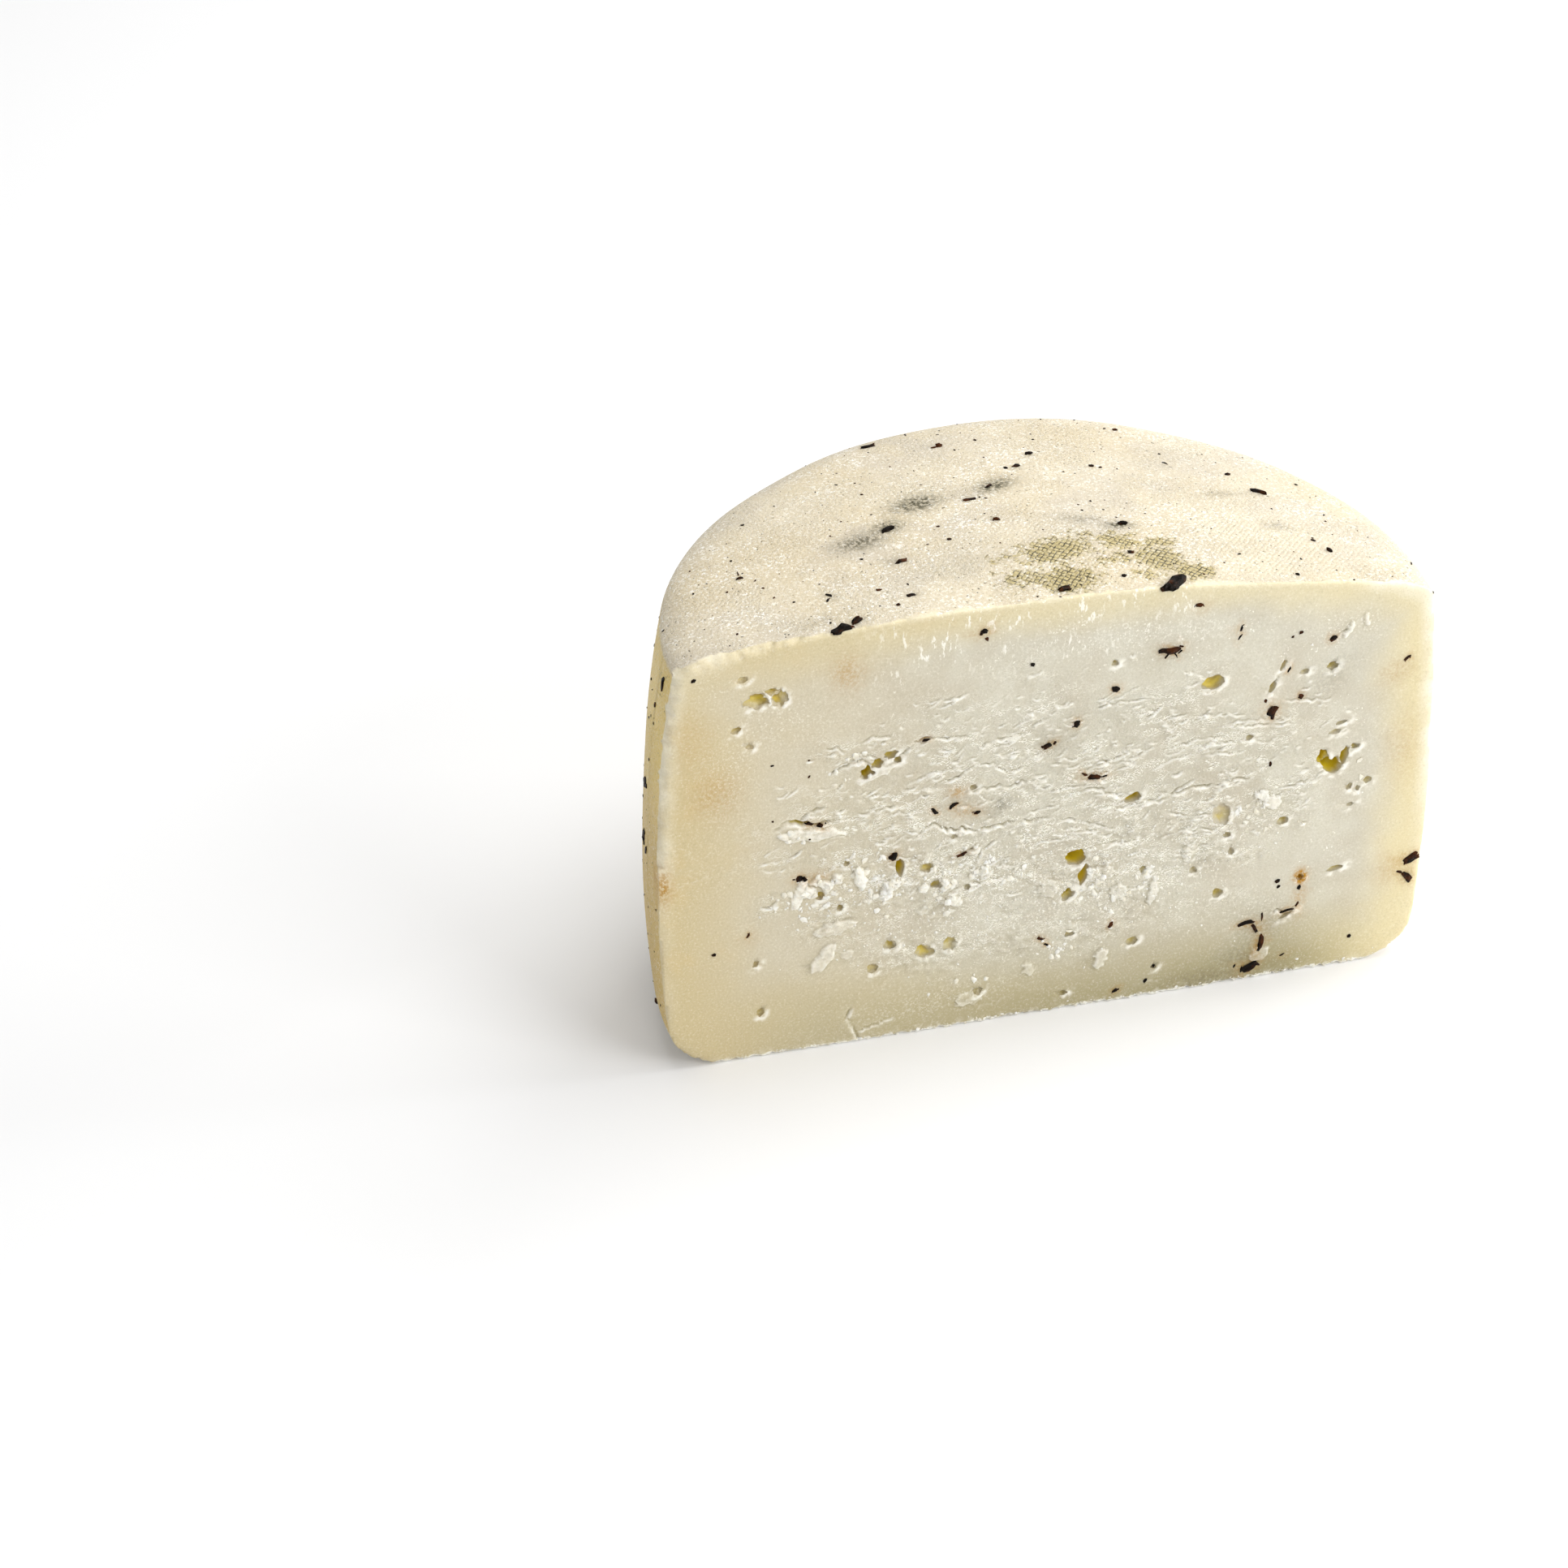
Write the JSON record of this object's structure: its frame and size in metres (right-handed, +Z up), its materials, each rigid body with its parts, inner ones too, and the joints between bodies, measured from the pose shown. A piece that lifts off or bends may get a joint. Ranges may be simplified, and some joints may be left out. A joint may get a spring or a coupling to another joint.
{
  "type": "half wheel of truffle goat cheese",
  "caption": "Half wheel of pale goat cheese with a smooth cream rind, a domed top and a crumbly knife-cut face with eyes, tears and black truffle shavings.",
  "frame": {"origin": "on the ground under the middle of the half wheel's box", "axes": "+Z up from the foot to the domed top, +X along the cut, the cut face looks towards -Y and the rind's back towards +Y"},
  "size_m": [0.132, 0.0746, 0.0807],
  "materials": {
    "cheese": "satin",
    "curd": "matte",
    "truffle": "matte"
  },
  "bodies": {
    "root": {"truffle_goat_cheese_half": "cheese"}
  },
  "joints": []
}
